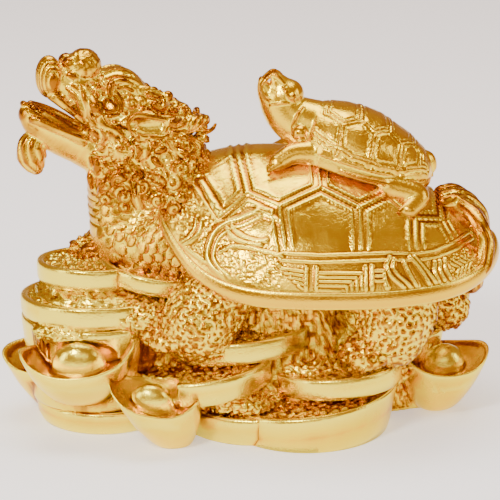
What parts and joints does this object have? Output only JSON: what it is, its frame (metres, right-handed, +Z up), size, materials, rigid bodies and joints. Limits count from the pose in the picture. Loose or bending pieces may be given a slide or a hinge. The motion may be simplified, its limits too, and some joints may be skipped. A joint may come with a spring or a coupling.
{
  "type": "dragon turtle figure",
  "caption": "Cast gold dragon turtle with an open-mouthed dragon head, a plated shell and a young turtle on its back, on a bed of coins and boat-shaped ingots.",
  "frame": {"origin": "middle of the bed, on the flat underside", "axes": "+Z up, the animal looks along -X, its left flank faces -Y, the side that the picture shows"},
  "size_m": [0.1128, 0.0654, 0.0851],
  "materials": {
    "gold": "bright polished gold finish, warm brown-orange toning in the grooves"
  },
  "bodies": {
    "root": {"dragon_turtle_figure": "gold"}
  },
  "joints": []
}
